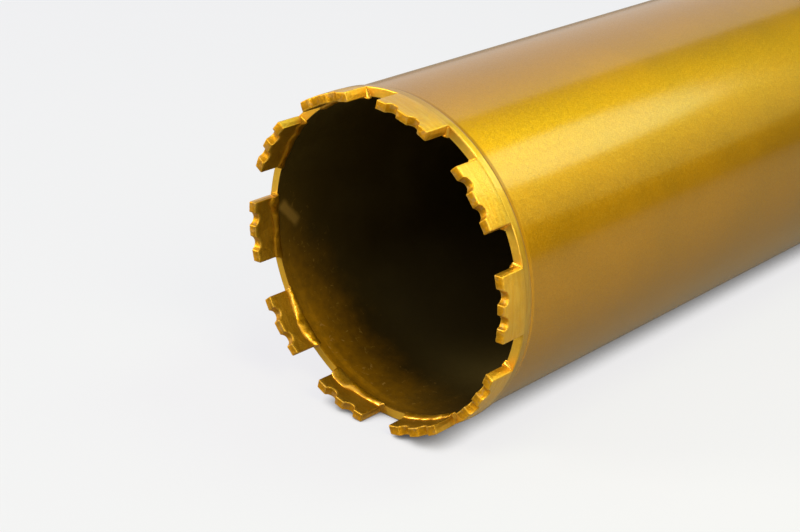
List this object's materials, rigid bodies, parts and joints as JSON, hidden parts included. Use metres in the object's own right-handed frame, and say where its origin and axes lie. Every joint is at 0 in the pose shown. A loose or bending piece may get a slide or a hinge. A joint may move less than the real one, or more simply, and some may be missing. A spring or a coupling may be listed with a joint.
{
  "type": "diamond core bit",
  "caption": "Thin-walled tubular core drill bit with notched diamond segments brazed round its open end and a threaded hub on a welded back plate, painted gold",
  "frame": {"origin": "centre of the hub's seating face, where the shoulder of the drill spindle bears; the bit stands on this face", "axes": "+Z runs along the bit from the hub to the diamond crown; +X passes through the middle of segment_01 and through the hub's wrench flats; the segments are numbered counter-clockwise as seen from the crown"},
  "size_m": [0.112, 0.1116, 0.494],
  "materials": {
    "gold_paint": "metallic gold spray paint, satin",
    "painted_segment": "metallic gold spray paint on sintered metal, slightly rough",
    "painted_braze": "metallic gold spray paint over lumpy brazing"
  },
  "bodies": {
    "root": {"barrel": "gold_paint", "crown_ring": "gold_paint", "back_plate": "gold_paint", "hub": "gold_paint", "plate_weld": "gold_paint", "hub_weld": "gold_paint", "segment_01": "painted_segment", "segment_02": "painted_segment", "segment_03": "painted_segment", "segment_04": "painted_segment", "segment_05": "painted_segment", "segment_06": "painted_segment", "segment_07": "painted_segment", "segment_08": "painted_segment", "segment_09": "painted_segment", "segment_10": "painted_segment", "braze_01": "painted_braze", "braze_02": "painted_braze", "braze_03": "painted_braze", "braze_04": "painted_braze", "braze_05": "painted_braze", "braze_06": "painted_braze", "braze_07": "painted_braze", "braze_08": "painted_braze", "braze_09": "painted_braze", "braze_10": "painted_braze"}
  },
  "joints": []
}
